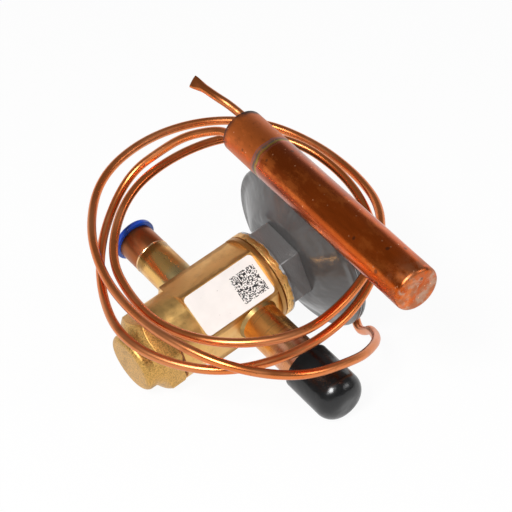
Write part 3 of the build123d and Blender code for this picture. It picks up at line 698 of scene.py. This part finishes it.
class VALVE_OT_copper(bpy.types.Operator):
    """Soften the copper sockets and the bulb and give them their copper"""

    bl_idname = "valve.copper"
    bl_label = "Copper pieces"

    def execute(self, context):
        metal = context.scene.valve_metal
        socket = copper("socket_copper", metal.tube, VALVE_ORIGIN, VALVE_TURN, 0.48, (1, 3, 3), 0.34)
        soften("inlet_tube", metal.edge, socket)
        soften("outlet_tube", metal.edge, outlet_copper("outlet_copper"))
        soften("bulb_shell", metal.edge, tinted_bulb("bulb_copper", metal.bulb, metal.tint_line))
        return {"FINISHED"}


class VALVE_OT_element(bpy.types.Operator):
    """Soften the power element's cup and cover and give them their enamel, darkened as painted shade"""

    bl_idname = "valve.element"
    bl_label = "Power element"

    def execute(self, context):
        metal = context.scene.valve_metal
        # The cup, cover and ferrule wear the nut's grey paint at 0.55 of its colour: painted shade, a darker
        # copy of the same enamel.
        enamel = grey_enamel("grey_enamel", darker(metal.paint, 0.55))
        for node in ("lower_cup", "upper_cover", "capillary_ferrule"):
            soften(node, metal.edge * 1.5, enamel)
        return {"FINISHED"}


class VALVE_OT_plastics(bpy.types.Operator):
    """Finish the inlet plug, the outlet's dust cap and the label"""

    bl_idname = "valve.plastics"
    bl_label = "Plug, dust cap and label"

    def execute(self, context):
        look = context.scene.valve_plastics
        edge = context.scene.valve_metal.edge
        soften("inlet_plug", edge, plastic("blue_plastic", look.plug, 0.35), "plug")
        soften("outlet_cap", edge, plastic("black_vinyl", look.dust_cap, 0.26, 0.2, 0.12), "dust_cap")
        paper = coded_label("label_paper", look.paper, look.code_size, look.code_cells)
        dress(bpy.data.objects["label"], paper)
        return {"FINISHED"}


class VALVE_OT_works(bpy.types.Operator):
    """Finish the braze, the gaskets and the pieces inside the valve"""

    bl_idname = "valve.works"
    bl_label = "Braze, gaskets and works"

    def execute(self, context):
        finishes = {
            # The braze's brassy tone is its own, but it is darkened to about half the inlet's bright braze:
            # painted shade for the shadow round the outlet's braze ring.
            "braze": steel("braze_with_painted_shade", rgb(0.46, 0.31, 0.12), 0.35),
            "copper_washer": copper("washer_copper", rgb(0.30, 0.13, 0.07), VALVE_ORIGIN, VALVE_TURN),
            "machined_brass": drawn_brass("turned_brass", rgb(0.80, 0.56, 0.26), -FAR),
            "steel": steel("bright_steel", rgb(0.56, 0.57, 0.58), 0.28),
            "hard_steel": steel("hard_steel", rgb(0.42, 0.43, 0.45), 0.2),
            "spring_steel": steel("spring_steel", rgb(0.34, 0.35, 0.37), 0.32),
            "diaphragm_steel": steel("diaphragm_steel", rgb(0.62, 0.63, 0.64), 0.18),
            "packing": packing_fibre("packing", rgb(0.82, 0.80, 0.74)),
        }
        for part in frame["record"]["subparts"]:
            if part["material_slot"] in finishes:
                dress(bpy.data.objects[part["node"]], finishes[part["material_slot"]])
        dress(bpy.data.objects["inlet_braze"], steel("bright_braze", rgb(0.92, 0.58, 0.30), 0.2))
        return {"FINISHED"}


class VALVE_OT_spring(bpy.types.Operator):
    """Cut the spring at its middle into a lower half named for its seat and an upper half named for the pin's
    carrier
    """

    bl_idname = "valve.spring"
    bl_label = "Superheat spring"

    def execute(self, context):
        finish = steel("coil_steel", rgb(0.34, 0.35, 0.37), 0.32)
        spring = bpy.data.objects["superheat_spring"]
        for body, end, lower in (("seat_nut", SPRING_BOTTOM, True), ("pin_group", SPRING_TOP, False)):
            half = bpy.data.objects.new("spring_by_" + body, spring.data.copy())
            context.collection.objects.link(half)
            activate(half)
            bpy.ops.object.mode_set(mode="EDIT")
            bpy.ops.mesh.select_all(action="SELECT")
            bpy.ops.mesh.bisect(plane_co=on_axis(SPRING_MIDDLE), plane_no=VALVE_AXIS, use_fill=True,
                                clear_inner=not lower, clear_outer=lower)
            bpy.ops.object.mode_set(mode="OBJECT")
            smooth(half)
            dress(half, finish)
            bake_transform(half)
            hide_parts("superheat_spring")
        return {"FINISHED"}


class VALVE_OT_stage(bpy.types.Operator):
    """Set up the table, the lamps and the camera"""

    bl_idname = "valve.stage"
    bl_label = "Table, lamps and camera"

    def execute(self, context):
        look = context.scene.valve_stage
        deselect()
        bpy.ops.mesh.primitive_plane_add(size=6.0, location=(0, 0, -0.02 * MM))
        table = context.object
        table.name = "table"
        bpy.ops.object.transform_apply(location=True, rotation=True, scale=True)
        dress(table, table_top(look.floor, look.glow))
        lamp("key", KEY_PLACE, KEY_WIDTH, look.key)
        lamp("fill", FILL_PLACE, FILL_WIDTH, look.fill)
        studio_walls(context.scene, look.walls, look.screen)
        camera = bpy.data.objects.new("camera", bpy.data.cameras.new("camera"))
        context.collection.objects.link(camera)
        camera.data.lens = look.lens
        camera.data.sensor_width = 36.0
        camera.data.clip_start = 0.01
        camera.location = CAMERA_PLACE
        camera.rotation_euler = CAMERA_TURN
        context.scene.camera = camera
        context.scene.view_settings.view_transform = "Standard"
        return {"FINISHED"}


class VALVE_PT_panel(bpy.types.Panel):
    """Buttons for every group of pieces, in the order they are made"""

    bl_label = "Expansion valve"
    bl_idname = "VALVE_PT_panel"
    bl_space_type = "VIEW_3D"
    bl_region_type = "UI"
    bl_category = "Expansion valve"

    def draw(self, context):
        for operator in OPERATORS:
            self.layout.operator(operator.bl_idname)
        for name, group in SETTINGS.items():
            box = self.layout.box()
            for setting in group.__annotations__:
                box.prop(getattr(context.scene, name), setting)


SETTINGS = {
    "valve_tubes": TubeSettings,
    "valve_metal": MetalSettings,
    "valve_plastics": PlasticSettings,
    "valve_stage": StageSettings,
}
OPERATORS = (
    VALVE_OT_stage, VALVE_OT_capillary, VALVE_OT_charge_tube, VALVE_OT_brass, VALVE_OT_copper,
    VALVE_OT_element, VALVE_OT_plastics, VALVE_OT_works, VALVE_OT_spring,
)


def register():
    for group in (*SETTINGS.values(), *OPERATORS, VALVE_PT_panel):
        bpy.utils.register_class(group)
    for name, group in SETTINGS.items():
        setattr(bpy.types.Scene, name, bpy.props.PointerProperty(type=group))


def unregister():
    for name in SETTINGS:
        delattr(bpy.types.Scene, name)
    for group in reversed((*SETTINGS.values(), *OPERATORS, VALVE_PT_panel)):
        bpy.utils.unregister_class(group)


def main():
    """Registers the settings and buttons and makes every piece in order."""
    register()
    for operator in OPERATORS:
        getattr(bpy.ops.valve, operator.bl_idname.split(".")[1])()


if __name__ == "__main__":
    main()
